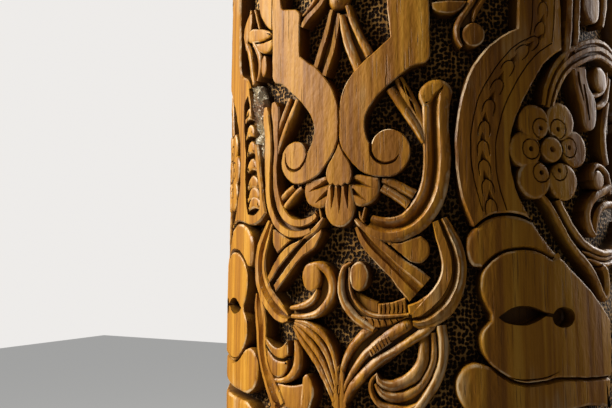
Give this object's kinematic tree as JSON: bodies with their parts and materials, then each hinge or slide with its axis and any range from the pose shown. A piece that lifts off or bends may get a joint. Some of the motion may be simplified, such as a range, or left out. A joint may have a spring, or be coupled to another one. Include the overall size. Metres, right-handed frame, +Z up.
{
  "type": "carved wooden column",
  "caption": "Round wooden veranda column with deep arabesque carving, on a moulded stone base, with a flared capital and a bolster under the beam.",
  "frame": {"origin": "middle of the underside of the stone plinth", "axes": "+Z up along the shaft; the front panel of the carving faces -Y and the bolster runs along X"},
  "size_m": [0.76, 0.43, 2.71],
  "materials": {
    "carved_wood": "hand-carved, worn satin",
    "ground_wood": "stippled, dark",
    "stone": "dressed, matt"
  },
  "bodies": {
    "root": {"plinth": "stone", "base_stone": "stone", "foot_turning": "carved_wood", "foot_leaves": "carved_wood", "shaft": "ground_wood", "lower_band": "carved_wood", "front_borders": "carved_wood", "back_borders": "carved_wood", "front_palmettes": "carved_wood", "back_palmettes": "carved_wood", "front_ribbons": "carved_wood", "back_ribbons": "carved_wood", "front_scrolls": "carved_wood", "back_scrolls": "carved_wood", "left_cartouches": "carved_wood", "right_cartouches": "carved_wood", "left_leaves": "carved_wood", "right_leaves": "carved_wood", "left_flowers": "carved_wood", "right_flowers": "carved_wood", "left_stems": "carved_wood", "right_stems": "carved_wood", "left_crests": "carved_wood", "right_crests": "carved_wood", "upper_band": "carved_wood", "necking": "carved_wood", "bell": "carved_wood", "bell_leaves_ring": "carved_wood", "abacus": "carved_wood", "bolster": "carved_wood", "bolster_scrolls": "carved_wood"}
  },
  "joints": []
}
